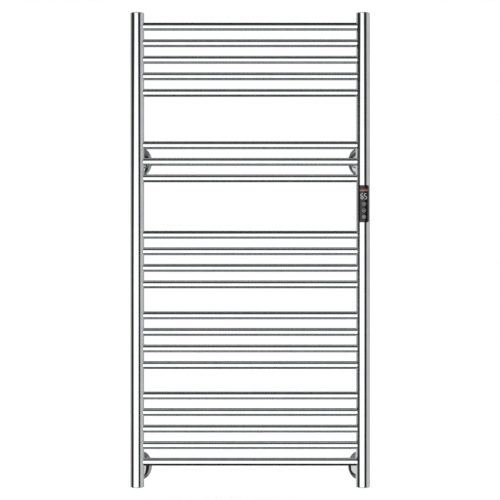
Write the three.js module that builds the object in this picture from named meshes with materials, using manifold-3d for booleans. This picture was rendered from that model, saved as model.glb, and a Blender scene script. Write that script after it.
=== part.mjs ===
// Electric towel warmer rack: two round uprights joined by 21 bars, held off the wall by four
// brackets, with a slim controller on the front of the right upright.
//
// Millimetres, +Z up. The rack faces -Y and the wall is the plane y = 0. The origin is on the
// wall, at the middle of the four brackets.

import * as THREE from 'three';
import { mergeVertices } from 'three/addons/utils/BufferGeometryUtils.js';
import Module from 'manifold-3d';

const manifold = await Module();
manifold.setup();

// Uprights
const railHeight = 1197;
const postSpacing = 570;
const postRadius = 17.5;
const postWall = 1.5;
const wallToPostAxis = 112;
const capHeight = 3;
const capSpigotDepth = 8;
const capEdgeRadius = 2;

// Bars, counted from the top
const barRadius = 10;
const barWall = 1;
const barPitch = 41.8;
const topToFirstBar = 34.4;
const barGroups = [5, 3, 4, 4, 5];
const groupSteps = [132.4, 142.4, 78.3, 77];
const barEndToPostAxis = 14;

// Wall brackets
const bracketSpacing = 794;
const lowerBracketHeight = 35;
const stemRadius = 9;
const stemSocketRoom = 1;
const stemInPost = 2;
const plateHalfWidth = 23;
const plateHalfHeight = 32;
const plateThickness = 3.5;
const collarRadius = 13;
const collarDepth = 14;
const rosetteHalfWidth = 28.5;
const rosetteHalfHeight = 37;
const rosetteDepth = 18;
const rosetteSkirt = 3;
const rosetteWall = 1.2;
const wallScrewHeight = 24;
const wallScrewRadius = 2.5;
const grubScrewRadius = 2.2;

// Controller
const controlHeight = 714.5;
const controlWidth = 26.5;
const controlLength = 93;
const controlCorner = 4;
const controlFront = wallToPostAxis + 28;
const controlWall = 1.5;
const fasciaRadius = 19;
const fasciaThickness = 2;
const fasciaBack = wallToPostAxis + 21;
const fasciaRim = 2.5;
const sealThickness = 0.6;
const sealInset = 0.5;
const housingFloor = 1.4;
const keyRadius = 5.8;
const keyFlangeRadius = 6.9;
const keyFlangeThickness = 0.9;
const keyTravel = 0.8;
const keyProud = 0.2;
const keyEdge = 0.5;
const keyHeights = { key_down: -1, key_up: -17, key_power: -33 };
const windowWidth = 21;
const windowLength = 31;
const windowHeight = 24.5;
const windowBack = wallToPostAxis + 23.6;
const displayInset = 1;
const boardWidth = 20.6;
const boardLength = 76;
const boardThickness = 1.2;
const boardStandoff = 0.4;
const switchSize = 5;
const switchRoom = 0.1;
const housingScrewOffset = 42;
const housingScrewRadius = 1.3;
const housingScrewHeadRadius = 2.5;
const housingScrewHeadDepth = 1.6;
const housingScrewReach = 4.5;

// Heating cable and its fittings
const cableRadius = 2.5;
const cableBend = 9;
const cableSides = 6;
const risingRunOffset = 8;
const wireHoleRadius = 4.5;
const sealSleeveRadius = 4;
const sealSleeveLength = 26;
const sealSleeveEndRoom = 4;
const sensorRadius = 2.4;
const sensorLength = 20;
const sensorRoom = 1;
const grommetBore = 3.4;
const grommetWall = 1.4;
const grommetFlange = 1.6;
const grommetFlangeThickness = 1.5;

// Fits and fineness. A cutter runs past the surface that it cuts by the overcut.
const gap = 0.3;
const overcut = 2;
const mergeDistance = 1e-4;
const postSides = 20;
const barSides = 12;
const roundSides = 16;
const smallSides = 8;
const cornerSides = 4;
const domeSteps = 5;

const postBottom = -bracketSpacing / 2 - lowerBracketHeight;
const postTop = postBottom + railHeight;
const controlZ = postBottom + controlHeight;
const postSide = { left: -1, right: 1 };
const bracketLevel = { upper: 1, lower: -1 };

const finishes = {
  chrome: new THREE.MeshStandardMaterial({ color: 0xd9dcde, roughness: 0.06, metalness: 1 }),
  steel: new THREE.MeshStandardMaterial({ color: 0x9b9da0, roughness: 0.35, metalness: 1 }),
  housing: new THREE.MeshStandardMaterial({ color: 0x141415, roughness: 0.45, metalness: 0 }),
  fascia: new THREE.MeshStandardMaterial({ color: 0x0c0c0e, roughness: 0.12, metalness: 0 }),
  key: new THREE.MeshStandardMaterial({ color: 0x2a2a2c, roughness: 0.3, metalness: 0 }),
  window: new THREE.MeshStandardMaterial({ color: 0x1c1416, roughness: 0.05, metalness: 0 }),
  display: new THREE.MeshStandardMaterial({ color: 0x6f7174, roughness: 0.4, metalness: 0 }),
  rubber: new THREE.MeshStandardMaterial({ color: 0x1a1a1a, roughness: 0.8, metalness: 0 }),
  board: new THREE.MeshStandardMaterial({ color: 0x1f5a34, roughness: 0.5, metalness: 0 }),
  cable: new THREE.MeshStandardMaterial({ color: 0x8c2f22, roughness: 0.6, metalness: 0 }),
};

const rack = new THREE.Group();

function addPiece(name, geometry, finish, x = 0, y = 0, z = 0) {
  const mesh = new THREE.Mesh(geometry, finishes[finish]);
  mesh.name = name;
  mesh.position.set(x, y, z);
  rack.add(mesh);
}

// ---- Solids ---------------------------------------------------------------------------------

function toSolid(geometry) {
  const bare = geometry.index ? geometry.clone() : geometry;
  bare.deleteAttribute('normal');
  bare.deleteAttribute('uv');
  const merged = mergeVertices(bare, mergeDistance);
  return new manifold.Manifold(new manifold.Mesh({
    numProp: 3,
    vertProperties: new Float32Array(merged.attributes.position.array),
    triVerts: new Uint32Array(merged.index.array),
  }));
}

function toGeometry(solid) {
  const mesh = solid.getMesh();
  const geometry = new THREE.BufferGeometry();
  geometry.setAttribute('position', new THREE.BufferAttribute(mesh.vertProperties, 3));
  geometry.setIndex(new THREE.BufferAttribute(mesh.triVerts, 1));
  return geometry;
}

function cut(body, ...cutters) {
  return cutters.reduce((left, cutter) => left.subtract(toSolid(cutter)), toSolid(body));
}

function join(...bodies) {
  return bodies.map(toSolid).reduce((sum, body) => sum.add(body));
}

// Turned about its own Y axis from [radius, height] pairs, listed from the bottom up outside.
function turned(profile, sides) {
  return new THREE.LatheGeometry(profile.map(([r, h]) => new THREE.Vector2(r, h)), sides);
}

function ring(outer, inner, bottom, top, sides) {
  return turned([[inner, bottom], [outer, bottom], [outer, top], [inner, top], [inner, bottom]], sides);
}

function rod(radius, bottom, top, sides) {
  return new THREE.CylinderGeometry(radius, radius, top - bottom, sides).translate(0, (top + bottom) / 2, 0);
}

// Lays a shape that was turned about Y along X or stands it along Z.
const alongX = (geometry) => geometry.rotateZ(-Math.PI / 2);
const alongZ = (geometry) => geometry.rotateX(Math.PI / 2);

function roundedOutline(width, height, corner) {
  const x = width / 2 - corner;
  const y = height / 2 - corner;
  const shape = new THREE.Shape();
  shape.absarc(x, y, corner, 0, Math.PI / 2);
  shape.absarc(-x, y, corner, Math.PI / 2, Math.PI);
  shape.absarc(-x, -y, corner, Math.PI, Math.PI * 1.5);
  shape.absarc(x, -y, corner, Math.PI * 1.5, Math.PI * 2);
  shape.closePath();
  return shape;
}

// A slab whose outline is seen from the front, filling the distances near..far from the wall.
function slab(width, height, corner, near, far) {
  const shape = roundedOutline(width, height, corner);
  const geometry = new THREE.ExtrudeGeometry(shape, {
    depth: far - near,
    bevelEnabled: false,
    curveSegments: cornerSides,
  });
  return alongZ(geometry).translate(0, -near, 0);
}

function block(width, height, near, far, z = 0) {
  return new THREE.BoxGeometry(width, far - near, height).translate(0, -(near + far) / 2, z);
}

// ---- Uprights, bars and caps ----------------------------------------------------------------

function barLevels() {
  const levels = [];
  let z = postTop - topToFirstBar;
  barGroups.forEach((count, group) => {
    for (let bar = 0; bar < count; bar += 1) {
      levels.push(z);
      z -= barPitch;
    }
    z += barPitch - (groupSteps[group] ?? 0);
  });
  return levels;
}

function postGeometry(side, levels) {
  const tube = alongZ(ring(postRadius, postRadius - postWall, postBottom + capHeight,
    postTop - capHeight, postSides));
  const reach = postRadius + overcut;
  const inward = side > 0 ? [-reach, 0] : [0, reach];
  const barHoles = levels.map((z) => alongX(rod(barRadius + gap, ...inward, barSides)).translate(0, 0, z));
  const stemHoles = Object.values(bracketLevel).map((level) =>
    rod(stemRadius + gap, 0, reach, roundSides).translate(0, 0, level * bracketSpacing / 2));
  return { tube, holes: [...barHoles, ...stemHoles] };
}

function controlHoles() {
  const screwHoles = [-1, 1].map((end) =>
    rod(housingScrewRadius + gap, -postRadius - overcut, 0, smallSides)
      .translate(0, 0, controlZ + end * housingScrewOffset));
  const wireHole = rod(wireHoleRadius, -postRadius - overcut, 0, smallSides).translate(0, 0, controlZ);
  return [...screwHoles, wireHole];
}

function barGeometry() {
  const half = postSpacing / 2 - barEndToPostAxis;
  return alongX(ring(barRadius, barRadius - barWall, -half, half, barSides));
}

// The cap's crown is flat, and its edge is a quarter round.
function capProfile(innerRadius) {
  const spigot = postRadius - postWall - gap;
  const seat = gap;
  const edgeRise = capEdgeRadius - gap;
  const edge = [0, 1, 2].map((step) => {
    const angle = step * Math.PI / 4;
    const r = postRadius - capEdgeRadius * (1 - Math.cos(angle));
    return [r, capHeight - edgeRise * (1 - Math.sin(angle))];
  });
  return [[innerRadius, -capSpigotDepth], [spigot, -capSpigotDepth], [spigot, seat], [postRadius, seat],
    ...edge, [innerRadius, capHeight]];
}

function capGeometry(end, innerRadius) {
  const profile = capProfile(innerRadius);
  if (innerRadius > 0) profile.push(profile[0]);
  const cap = alongZ(turned(profile, postSides));
  return end > 0 ? cap : cap.rotateX(Math.PI);
}

// ---- Wall brackets --------------------------------------------------------------------------

function stemGeometry() {
  const rear = -plateThickness - stemSocketRoom;
  const front = -wallToPostAxis + postRadius - postWall - stemInPost;
  return rod(stemRadius, front, rear, roundSides);
}

function wallPlateGeometry() {
  const plate = rod(1, -plateThickness, 0, roundSides).scale(plateHalfWidth, 1, plateHalfHeight);
  const collar = rod(collarRadius, -collarDepth, -plateThickness / 2, roundSides);
  const socket = rod(stemRadius + gap, -collarDepth - overcut, -plateThickness, roundSides);
  const screwHoles = [-1, 1].map((end) =>
    rod(wallScrewRadius, -plateThickness - overcut, overcut, smallSides)
      .translate(0, 0, end * wallScrewHeight));
  const grubHole = alongZ(rod(grubScrewRadius + gap, -collarRadius - overcut, 0, smallSides))
    .translate(0, grubScrewPlane(), 0);
  const drilled = [socket, ...screwHoles, grubHole].map(toSolid);
  return toGeometry(drilled.reduce((body, hole) => body.subtract(hole), join(plate, collar)));
}

function grubScrewPlane() {
  return -(plateThickness + collarDepth) / 2;
}

function grubScrewGeometry() {
  return alongZ(rod(grubScrewRadius, -collarRadius, -stemRadius - gap, smallSides));
}

// Half of an ellipse over a short straight skirt, as [share of the radius, depth] pairs.
function domeProfile(inset) {
  const crown = rosetteDepth - inset;
  const curve = Array.from({ length: domeSteps }, (_, step) => {
    const angle = step * Math.PI / (2 * domeSteps);
    return [Math.cos(angle), -(rosetteSkirt + (crown - rosetteSkirt) * Math.sin(angle))];
  });
  return [...curve, [0, -crown]];
}

function dome(inset) {
  const profile = [...domeProfile(inset).reverse(), [1, -gap], [0, -gap]];
  return turned(profile, postSides).scale(rosetteHalfWidth - inset, 1, rosetteHalfHeight - inset);
}

function rosetteGeometry() {
  const hollow = dome(rosetteWall).translate(0, gap * 2, 0);
  const bore = rod(stemRadius + gap, -rosetteDepth - overcut, 0, roundSides);
  return toGeometry(cut(dome(0), hollow, bore));
}

// ---- Controller -----------------------------------------------------------------------------

const rimFront = fasciaBack - sealThickness - 2 * gap;
const floorFront = wallToPostAxis + postRadius + gap + housingFloor;
const boardBack = floorFront + boardStandoff;
const boardFront = boardBack + boardThickness;

function housingGeometry() {
  const body = slab(controlWidth, controlLength, controlCorner, wallToPostAxis + stemRadius, rimFront);
  const cavity = slab(controlWidth - 2 * controlWall, controlLength - 2 * controlWall,
    controlCorner - controlWall, floorFront, rimFront + overcut);
  const post = alongZ(rod(postRadius + gap, -controlLength, controlLength, postSides * 2))
    .translate(0, -wallToPostAxis, 0);
  const screwHoles = [-1, 1].map((end) =>
    rod(housingScrewRadius + gap, -controlFront, 0, smallSides).translate(0, 0, end * housingScrewOffset));
  const wireHole = rod(wireHoleRadius, -controlFront, 0, smallSides);
  return toGeometry(cut(body, cavity, post, wireHole, ...screwHoles));
}

function sealGeometry() {
  const near = rimFront + gap;
  const outside = slab(controlWidth - 2 * sealInset, controlLength - 2 * sealInset,
    controlCorner - sealInset, near, near + sealThickness);
  const inside = slab(controlWidth - 2 * controlWall, controlLength - 2 * controlWall,
    controlCorner - controlWall, near - overcut, near + sealThickness + overcut);
  return toGeometry(cut(outside, inside));
}

// An upright cylinder that shares the curve of the fascia's face, set back from it.
function faceCurve(setBack) {
  return alongZ(rod(fasciaRadius - setBack, -controlLength, controlLength, postSides * 2))
    .translate(0, fasciaRadius - controlFront, 0);
}

function fasciaGeometry() {
  const outside = toSolid(slab(controlWidth, controlLength, controlCorner, fasciaBack, controlFront))
    .intersect(toSolid(faceCurve(0)));
  const pocketBlock = slab(controlWidth - 2 * fasciaRim, controlLength - 2 * fasciaRim,
    controlCorner - fasciaRim, fasciaBack - overcut, controlFront);
  const pocket = toSolid(pocketBlock).intersect(toSolid(faceCurve(fasciaThickness)));
  const keyHoles = Object.values(keyHeights).map((z) =>
    rod(keyRadius + gap, -controlFront - overcut, 0, roundSides).translate(0, 0, z));
  const opening = block(windowWidth, windowLength, fasciaBack - overcut, controlFront + overcut,
    windowHeight);
  const holes = [opening, ...keyHoles].map(toSolid);
  return toGeometry(holes.reduce((body, hole) => body.subtract(hole), outside.subtract(pocket)));
}

// The flange is caught behind the fascia, whose curve is deepest at the flange's two sides.
const faceAxis = controlFront - fasciaRadius;
const flangeFront = gap - faceAxis - Math.sqrt((fasciaRadius - fasciaThickness) ** 2 - keyFlangeRadius ** 2);
const flangeBack = flangeFront + keyFlangeThickness;

function keyGeometry() {
  const front = -controlFront - keyProud;
  return turned([[0, front], [keyRadius - keyEdge, front], [keyRadius, front + keyEdge],
    [keyRadius, flangeFront], [keyFlangeRadius, flangeFront], [keyFlangeRadius, flangeBack],
    [0, flangeBack]], roundSides);
}

// The board carries one small switch behind each key, just out of reach of its full travel.
function boardGeometry() {
  const board = block(boardWidth, boardLength, boardBack, boardFront);
  const switches = Object.values(keyHeights).map((z) =>
    block(switchSize, switchSize, boardBack, -flangeBack - keyTravel - switchRoom, z));
  return toGeometry(join(board, ...switches));
}

function displayGeometry() {
  return block(windowWidth - 2 * displayInset, windowLength - 2 * displayInset, boardFront + gap,
    windowBack - gap, windowHeight);
}

function windowGeometry() {
  const pane = block(windowWidth - 2 * gap, windowLength - 2 * gap, windowBack, controlFront, windowHeight);
  return toGeometry(toSolid(pane).intersect(toSolid(faceCurve(gap))));
}

function housingScrewGeometry() {
  const headBack = -floorFront - gap / 2;
  const headFront = headBack - housingScrewHeadDepth;
  const tip = -wallToPostAxis - postRadius + housingScrewReach;
  return turned([[0, headFront], [housingScrewHeadRadius, headFront], [housingScrewHeadRadius, headBack],
    [housingScrewRadius, headBack], [housingScrewRadius, tip], [0, tip]], smallSides);
}

// ---- Heating cable --------------------------------------------------------------------------

// Passes through its points in order, one per step, so straight runs need no extra steps.
class Route extends THREE.Curve {
  constructor(points) {
    super();
    this.points = points;
  }

  getPointAt(u) {
    return this.points[Math.round(u * (this.points.length - 1))].clone();
  }

  getTangentAt(u) {
    const index = Math.round(u * (this.points.length - 1));
    const before = this.points[Math.max(index - 1, 0)];
    const here = this.points[index];
    const after = this.points[Math.min(index + 1, this.points.length - 1)];
    const arriving = here.clone().sub(before).normalize();
    const leaving = after.clone().sub(here).normalize();
    return arriving.add(leaving).normalize();
  }
}

// Takes each inner corner off at the given distance from it.
function easeCorners(corners, reach) {
  const points = [corners[0]];
  for (let i = 1; i < corners.length - 1; i += 1) {
    const back = corners[i - 1].clone().sub(corners[i]).setLength(reach);
    const ahead = corners[i + 1].clone().sub(corners[i]).setLength(reach);
    points.push(back.add(corners[i]), ahead.add(corners[i]));
  }
  points.push(corners[corners.length - 1]);
  return points;
}

// From the controller up the right upright, then back and forth through every bar.
function cableCorners(levels) {
  const x = postSpacing / 2;
  const axis = -wallToPostAxis;
  const rising = axis - risingRunOffset;
  const corners = [
    new THREE.Vector3(x, -boardBack + gap, controlZ),
    new THREE.Vector3(x, rising, controlZ),
    new THREE.Vector3(x, rising, levels[1]),
    new THREE.Vector3(x, axis, levels[1] + barPitch / 2),
  ];
  levels.forEach((z, bar) => {
    const start = bar % 2 === 0 ? x : -x;
    corners.push(new THREE.Vector3(start, axis, z));
    corners.push(new THREE.Vector3(-start, axis, z));
  });
  corners.push(new THREE.Vector3(-x, axis, levels[levels.length - 1] - 2 * cableBend - sealSleeveLength / 2));
  return corners;
}

function cableGeometry(levels) {
  const points = easeCorners(cableCorners(levels), cableBend);
  const section = new THREE.Shape();
  for (let side = 0; side < cableSides; side += 1) {
    const angle = side * 2 * Math.PI / cableSides;
    const corner = [cableRadius * Math.cos(angle), cableRadius * Math.sin(angle)];
    if (side === 0) section.moveTo(...corner);
    else section.lineTo(...corner);
  }
  section.closePath();
  return new THREE.ExtrudeGeometry(section, { steps: points.length - 1, extrudePath: new Route(points) });
}

// A closed sleeve over the far end of the cable.
function sealSleeveGeometry() {
  const bore = cableRadius + gap;
  const depth = sealSleeveLength / 2 + sealSleeveEndRoom;
  return alongZ(turned([[0, -sealSleeveLength], [sealSleeveRadius, -sealSleeveLength], [sealSleeveRadius, 0],
    [bore, 0], [bore, -depth], [0, -depth]], smallSides));
}

function grommetGeometry() {
  const neck = grommetBore + grommetWall;
  const flange = neck + grommetFlange;
  const bottom = -capSpigotDepth - gap;
  const end = bottom - grommetFlangeThickness;
  return turned([[grommetBore, end], [flange, end], [flange, bottom], [neck, bottom],
    [neck, capHeight], [grommetBore, capHeight], [grommetBore, end]], smallSides);
}

// ---- Assembly -------------------------------------------------------------------------------

const levels = barLevels();

for (const [name, side] of Object.entries(postSide)) {
  const { tube, holes } = postGeometry(side, levels);
  const drilled = side > 0 ? [...holes, ...controlHoles()] : holes;
  const post = toGeometry(cut(tube, ...drilled));
  addPiece(`post_${name}`, post, 'chrome', side * postSpacing / 2, -wallToPostAxis);
}

levels.forEach((z, index) => {
  addPiece(`bar_${String(index + 1).padStart(2, '0')}`, barGeometry(), 'chrome', 0, -wallToPostAxis, z);
});

for (const [name, side] of Object.entries(postSide)) {
  const x = side * postSpacing / 2;
  const drilled = side > 0 ? grommetBore + grommetWall + gap : 0;
  const bottomCap = capGeometry(-1, drilled);
  addPiece(`cap_top_${name}`, capGeometry(1, 0), 'chrome', x, -wallToPostAxis, postTop - capHeight);
  addPiece(`cap_bottom_${name}`, bottomCap, 'chrome', x, -wallToPostAxis, postBottom + capHeight);
}

for (const [levelName, level] of Object.entries(bracketLevel)) {
  for (const [sideName, side] of Object.entries(postSide)) {
    const place = [side * postSpacing / 2, 0, level * bracketSpacing / 2];
    const label = `${levelName}_${sideName}`;
    addPiece(`wall_plate_${label}`, wallPlateGeometry(), 'steel', ...place);
    addPiece(`stem_${label}`, stemGeometry(), 'chrome', ...place);
    addPiece(`grub_screw_${label}`, grubScrewGeometry(), 'steel', place[0], grubScrewPlane(), place[2]);
    addPiece(`rosette_${label}`, rosetteGeometry(), 'chrome', ...place);
  }
}

const controlPlace = [postSpacing / 2, 0, controlZ];
addPiece('control_housing', housingGeometry(), 'housing', ...controlPlace);
addPiece('control_seal', sealGeometry(), 'rubber', ...controlPlace);
addPiece('control_fascia', fasciaGeometry(), 'fascia', ...controlPlace);
addPiece('display_window', windowGeometry(), 'window', ...controlPlace);
addPiece('display_module', displayGeometry(), 'display', ...controlPlace);
addPiece('circuit_board', boardGeometry(), 'board', ...controlPlace);
for (const [name, height] of Object.entries(keyHeights)) {
  addPiece(name, keyGeometry(), 'key', controlPlace[0], 0, controlZ + height);
}
for (const [name, end] of Object.entries(bracketLevel)) {
  addPiece(`housing_screw_${name}`, housingScrewGeometry(), 'steel', controlPlace[0], 0,
    controlZ + end * housingScrewOffset);
}

const cableEnd = levels[levels.length - 1] - 2 * cableBend;
addPiece('heating_cable', cableGeometry(levels), 'cable');
addPiece('cable_end_seal', sealSleeveGeometry(), 'rubber', -postSpacing / 2, -wallToPostAxis, cableEnd);
addPiece('temperature_sensor', alongZ(rod(sensorRadius, -sensorLength, 0, smallSides)), 'steel',
  postSpacing / 2, -wallToPostAxis - postRadius + postWall + sensorRadius + sensorRoom, controlZ - cableBend);
addPiece('supply_grommet', alongZ(grommetGeometry()).rotateX(Math.PI), 'rubber', postSpacing / 2,
  -wallToPostAxis, postBottom + capHeight);

export default rack;
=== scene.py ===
# The looks of an electric towel warmer rack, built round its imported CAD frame.
#
# Metres, +Z up. The rack faces -Y and the wall is the plane y = 0. Every size and place comes from
# the CAD nodes' boxes; the constants below only add the fine detail that the CAD leaves out.

import math

import bmesh
import bpy
import numpy as np
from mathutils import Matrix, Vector
from mathutils.geometry import delaunay_2d_cdt


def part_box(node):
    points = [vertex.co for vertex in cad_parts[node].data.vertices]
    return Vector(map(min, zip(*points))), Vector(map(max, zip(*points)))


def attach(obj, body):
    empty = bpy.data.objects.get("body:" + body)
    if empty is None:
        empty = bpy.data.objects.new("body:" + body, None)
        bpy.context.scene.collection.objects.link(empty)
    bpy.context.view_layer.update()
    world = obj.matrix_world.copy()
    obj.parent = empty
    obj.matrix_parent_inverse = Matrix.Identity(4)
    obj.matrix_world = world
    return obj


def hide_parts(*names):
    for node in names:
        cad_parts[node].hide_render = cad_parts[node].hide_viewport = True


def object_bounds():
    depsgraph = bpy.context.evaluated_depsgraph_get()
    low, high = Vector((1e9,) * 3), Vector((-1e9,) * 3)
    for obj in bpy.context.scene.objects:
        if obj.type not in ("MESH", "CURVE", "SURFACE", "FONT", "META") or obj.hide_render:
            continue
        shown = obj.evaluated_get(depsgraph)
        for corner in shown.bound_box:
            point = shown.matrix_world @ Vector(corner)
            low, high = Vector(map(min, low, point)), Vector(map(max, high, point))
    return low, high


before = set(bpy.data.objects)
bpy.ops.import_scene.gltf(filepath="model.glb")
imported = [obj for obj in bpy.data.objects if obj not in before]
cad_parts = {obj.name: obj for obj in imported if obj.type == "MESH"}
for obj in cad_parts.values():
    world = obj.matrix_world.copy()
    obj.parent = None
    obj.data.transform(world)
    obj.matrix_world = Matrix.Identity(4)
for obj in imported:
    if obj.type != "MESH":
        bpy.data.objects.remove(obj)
CAD_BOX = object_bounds()
MM = 0.001

# Camera: level with the middle of the rack, in front of the posts
CAMERA_DISTANCE = 3.0
FIELD_WIDTH = 1.2633
SENSOR_WIDTH = 36
FLOOR_DROP = 0.12
FLOOR_SIZE = 12

# Studio: brightness of what the chrome sees. Directions are degrees round from the camera's side
# and degrees up. Each band is (low, high, softness).
SIDE_WALL = 0.58
BACK_RIGHT_WALL = 0.38
BACK_RIGHT = (124, 150, 12)
BACK_LIGHT = 1.1
BACK_DARK = 0.04
BACK_START, BACK_SOFT = 152, 10
BACK_LIGHT_START = 166
BACK_LIGHT_LEVEL = (-15, 15, 8)
FLAG = 0.035
FLAGS = ((-107, -54, 3), (25, 60, 3), (-56, 27, 2))
GLOW = 0.12
GLOW_WIDTH = (-50, 21, 4)
GLOW_LEVEL = (5, 52, 40)
CEILING = 0.25
CEILING_STRIP = 0.02
CEILING_START, CEILING_SOFT = 30, 24
GROUND = 0.25
GROUND_STRIP = 0.015
GROUND_START, GROUND_SOFT = -50, 14
STRIP_REACH, STRIP_SOFT = 0.22, 0.16
DIFFUSE_LIGHT = 1.25
PANEL_LIGHT = 1.25
PANEL_DISTANCE = 4.0
PANEL_LEFT, PANEL_RIGHT = -5.8, 1.74
PANEL_BOTTOM, PANEL_TOP = -4.6, 2.3
PANEL_SOFT = 0.15
PANEL_TOP_SOFT = 0.8
PANEL_MARGIN = 1.0
LEFT_SHOULDER, LEFT_FALL = -1.0, 0.097
RIGHT_SHOULDER, RIGHT_FALL = 0.0, 0.7

# Fineness
POST_SIDES = 96
BAR_SIDES = 56
ROUND_SIDES = 64
HOLE_SIDES = 32
ARC_STEPS = 6
SHARP_ANGLE = math.radians(40)
LINE_STRETCH = 0.03
PLASTIC_IOR = 1.5
MOULD_GRAIN = 2600
NOISE_LOW, NOISE_HIGH = 0.3, 0.7

# Tubes and their welds
POST_WALL = 1.5 * MM
BAR_WALL = 1.0 * MM
WELD_REACH = 1.3 * MM
WELD_DEPTH = 0.7 * MM
SEAM_EDGE = 0.15 * MM
CAP_EDGE = 1.8 * MM
CAP_CROWN = 0.15 * MM
CAP_CROWN_RINGS = (0.75, 0.5, 0.25)
STEM_EDGE = 0.45 * MM

# Wall brackets
ROSETTE_WALL = 1.2 * MM
ROSETTE_SKIRT = 3 * MM
ROSETTE_STEPS = 18
DOME_EXTRA = 0.3 * MM
BORE_PLAY = 0.3 * MM
PLATE_THICKNESS = 3.5 * MM
PLATE_EDGE = 0.45 * MM
COLLAR_RADIUS = 13 * MM
SCREW_HOLE_RADIUS = 2.5 * MM
SCREW_HOLE_SPACING = 48 * MM
COUNTERSINK = 1.6 * MM
GRUB_SOCKET = 1.1 * MM
GRUB_EDGE = 0.3 * MM
GRUB_SIDES = 48

# Controller
FACE_RADIUS = 19 * MM
FACE_THICKNESS = 2 * MM
BOX_CORNER = 4 * MM
FASCIA_EDGE = 0.7 * MM
FASCIA_RIM = 2.5 * MM
HOUSING_WALL = 1.5 * MM
HOUSING_EDGE = 0.5 * MM
KEY_EDGE = 0.4 * MM
KEY_FLANGE = 0.9 * MM
KEY_FLANGE_REACH = 1.1 * MM
KEY_PROUD = 0.1 * MM
WINDOW_CORNER = 0.8 * MM
WINDOW_SET_BACK = 0.1 * MM
HOUSING_FLOOR = 0.6 * MM
WIRE_HOLE_RADIUS = 4.5 * MM
HOUSING_SCREW_RADIUS = 1.6 * MM
SEAL_WIDTH = 1 * MM
FACE_GRID = 1.0 * MM
GRID_CLEARANCE = 0.75

# Marks and lights on the controller
PRINT_DEPTH = 0.05 * MM
MARK_RING_RADIUS = 4.8 * MM
MARK_RING_WIDTH = 0.6 * MM
MARK_STROKE = 1.05 * MM
CHEVRON_REACH, CHEVRON_RISE = 2.1 * MM, 1.3 * MM
POWER_RADIUS = 2.3 * MM
POWER_GAP = (125, 415)
POWER_BAR = (0.4 * MM, 1.6 * MM, 2.8 * MM)
POWER_STEPS = 28
DIGIT_WIDTH, DIGIT_HEIGHT = 5.4 * MM, 13.2 * MM
DIGIT_PITCH = 8.6 * MM
DIGIT_STROKE = 1.9 * MM
DIGIT_RISE = 9.2 * MM
LIGHT_BAR_MARGIN = 0.3 * MM
LIGHT_BAR_CORNER = 0.5 * MM
LIGHT_BAR_DROP, LIGHT_BAR_HEIGHT = 6.6 * MM, 3.2 * MM
DIM_BAR_DROP, DIM_BAR_HEIGHT = 3.1 * MM, 3.2 * MM

# Supply grommet
GROMMET_WALL = 1.4 * MM
GROMMET_FLANGE = 1.6 * MM
GROMMET_FLANGE_THICKNESS = 1.5 * MM
GROMMET_EDGE = 0.4 * MM
GROMMET_SIDES = 48


# ---- Places taken from the frame --------------------------------------------------------------


def middle(node):
    low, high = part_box(node)
    return (low + high) / 2


def size(node):
    low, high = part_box(node)
    return high - low


POST_RADIUS = size("post_left").x / 2
POST_Y = middle("post_left").y
BAR_RADIUS = size("bar_01").z / 2
STEM_RADIUS = size("stem_upper_left").x / 2
CONTROL = middle("control_housing")
FACE_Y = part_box("control_fascia")[0].y
FACE_AXIS_Y = FACE_Y + FACE_RADIUS
SIDES = {"left": -1, "right": 1}
POST_X = {side: middle(f"post_{name}").x for name, side in SIDES.items()}
LEVELS = ("upper", "lower")
KEYS = {"key_down": "down_key", "key_up": "up_key", "key_power": "power_key"}
BARS = sorted(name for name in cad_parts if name.startswith("bar_"))


# ---- Mesh building ----------------------------------------------------------------------------


class Body:
    """One or more closed surfaces, built from rings of points and turned into a single piece."""

    def __init__(self):
        self.points = []
        self.faces = []

    def ring(self, points):
        start = len(self.points)
        self.points.extend(Vector(p) for p in points)
        return list(range(start, len(self.points)))

    def bridge(self, one, other):
        count = len(one)
        for i in range(count):
            j = (i + 1) % count
            self.faces.append((one[i], one[j], other[j], other[i]))

    def tube(self, rings, closed=False):
        made = [self.ring(points) for points in rings]
        for one, other in zip(made, made[1:]):
            self.bridge(one, other)
        if closed:
            self.bridge(made[-1], made[0])
        return made

    def fan(self, ring, tip):
        centre = self.ring([tip])[0]
        for i in range(len(ring)):
            self.faces.append((ring[i], ring[(i + 1) % len(ring)], centre))

    def fill(self, outline, holes, depth, grid=0.0):
        """Covers what lies between an outline and its holes, seen from the front, at depth(x, z)."""
        rings = [outline, *holes]
        flat = [np.array([(self.points[i].x, self.points[i].z) for i in ring]) for ring in rings]
        spots = [tuple(spot) for ring in flat for spot in ring]
        indices = [i for ring in rings for i in ring]
        edges = []
        start = 0
        for ring in rings:
            edges += [(start + i, start + (i + 1) % len(ring)) for i in range(len(ring))]
            start += len(ring)
        for x, z in grid_spots(flat, grid):
            spots.append((x, z))
            indices += self.ring([(x, depth(x, z), z)])
        result = delaunay_2d_cdt([Vector(spot) for spot in spots], edges, [], 0, 1e-9)
        source = [origin[0] for origin in result[3]]
        faces = [[source[corner] for corner in face] for face in result[2]]
        centres = np.array([[spots[corner] for corner in face] for face in faces]).mean(1)
        for face, wanted in zip(faces, within(centres, flat)):
            if wanted:
                self.faces.append([indices[corner] for corner in face])

    def piece(self, name, material, body, stands_for=()):
        mesh = bpy.data.meshes.new(name)
        mesh.from_pydata(self.points, [], self.faces)
        shape = bmesh.new()
        shape.from_mesh(mesh)
        bmesh.ops.recalc_face_normals(shape, faces=shape.faces)
        shape.to_mesh(mesh)
        shape.free()
        mesh.shade_smooth()
        mesh.set_sharp_from_angle(angle=SHARP_ANGLE)
        mesh.materials.append(material)
        thing = bpy.data.objects.new(name, mesh)
        bpy.context.scene.collection.objects.link(thing)
        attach(thing, body)
        if stands_for:
            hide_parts(*stands_for)


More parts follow.
